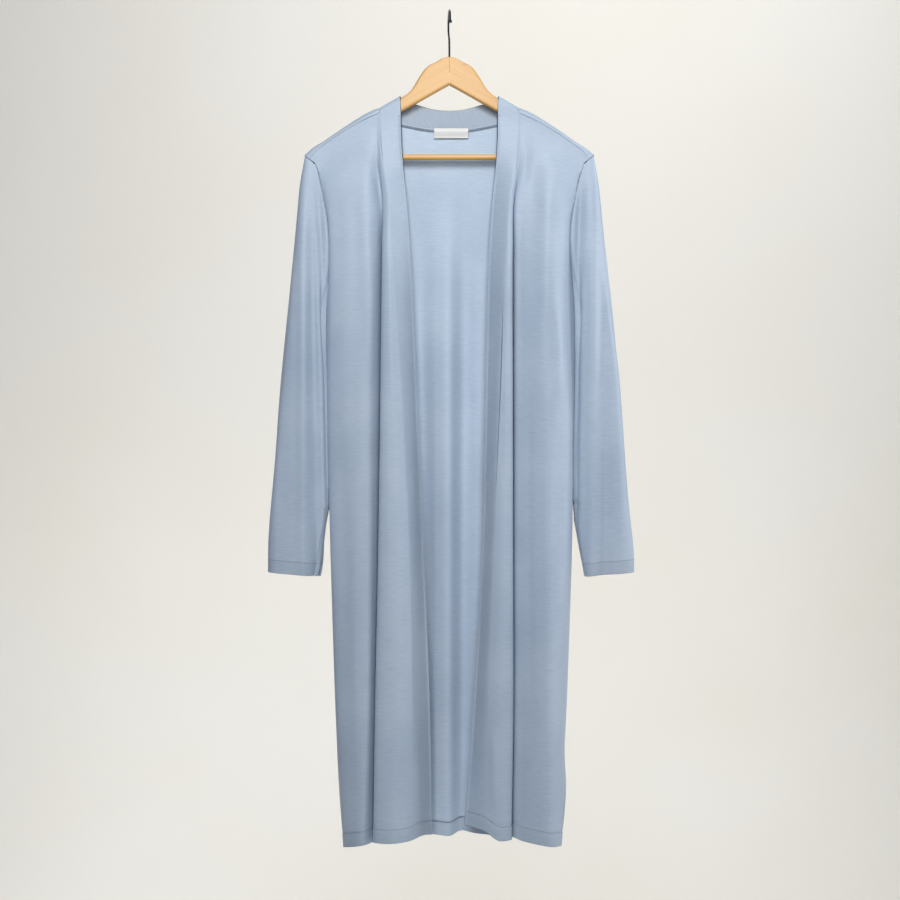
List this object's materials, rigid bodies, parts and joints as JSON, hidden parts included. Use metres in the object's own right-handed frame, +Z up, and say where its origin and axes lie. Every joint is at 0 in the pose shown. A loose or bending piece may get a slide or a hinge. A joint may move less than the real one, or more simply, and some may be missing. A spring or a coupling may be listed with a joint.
{
  "type": "duster cardigan on a wooden hanger",
  "caption": "Long open-front duster cardigan in light jersey with a plain band, long sleeves and side slits, hanging on a wooden coat hanger with a wire hook.",
  "frame": {"origin": "top of the inside of the hook, where a rail carries it", "axes": "+Z up, the open front faces -Y, +X towards the wearer's left"},
  "size_m": [0.5416, 0.1042, 1.237],
  "materials": {
    "jersey": "fine dusty blue jersey with a soft sheen",
    "label": "white woven tape, bare",
    "wood": "clear satin varnish on pale hardwood",
    "hook_wire": "bright plated steel wire"
  },
  "bodies": {
    "root": {"back_panel": "jersey", "front_right": "jersey", "front_left": "jersey", "band_right": "jersey", "band_left": "jersey", "band_neck": "jersey", "sleeve_right": "jersey", "sleeve_left": "jersey", "neck_label": "label", "hanger_arm_right": "wood", "hanger_arm_left": "wood", "hanger_bar": "wood", "hanger_hook": "hook_wire"}
  },
  "joints": []
}
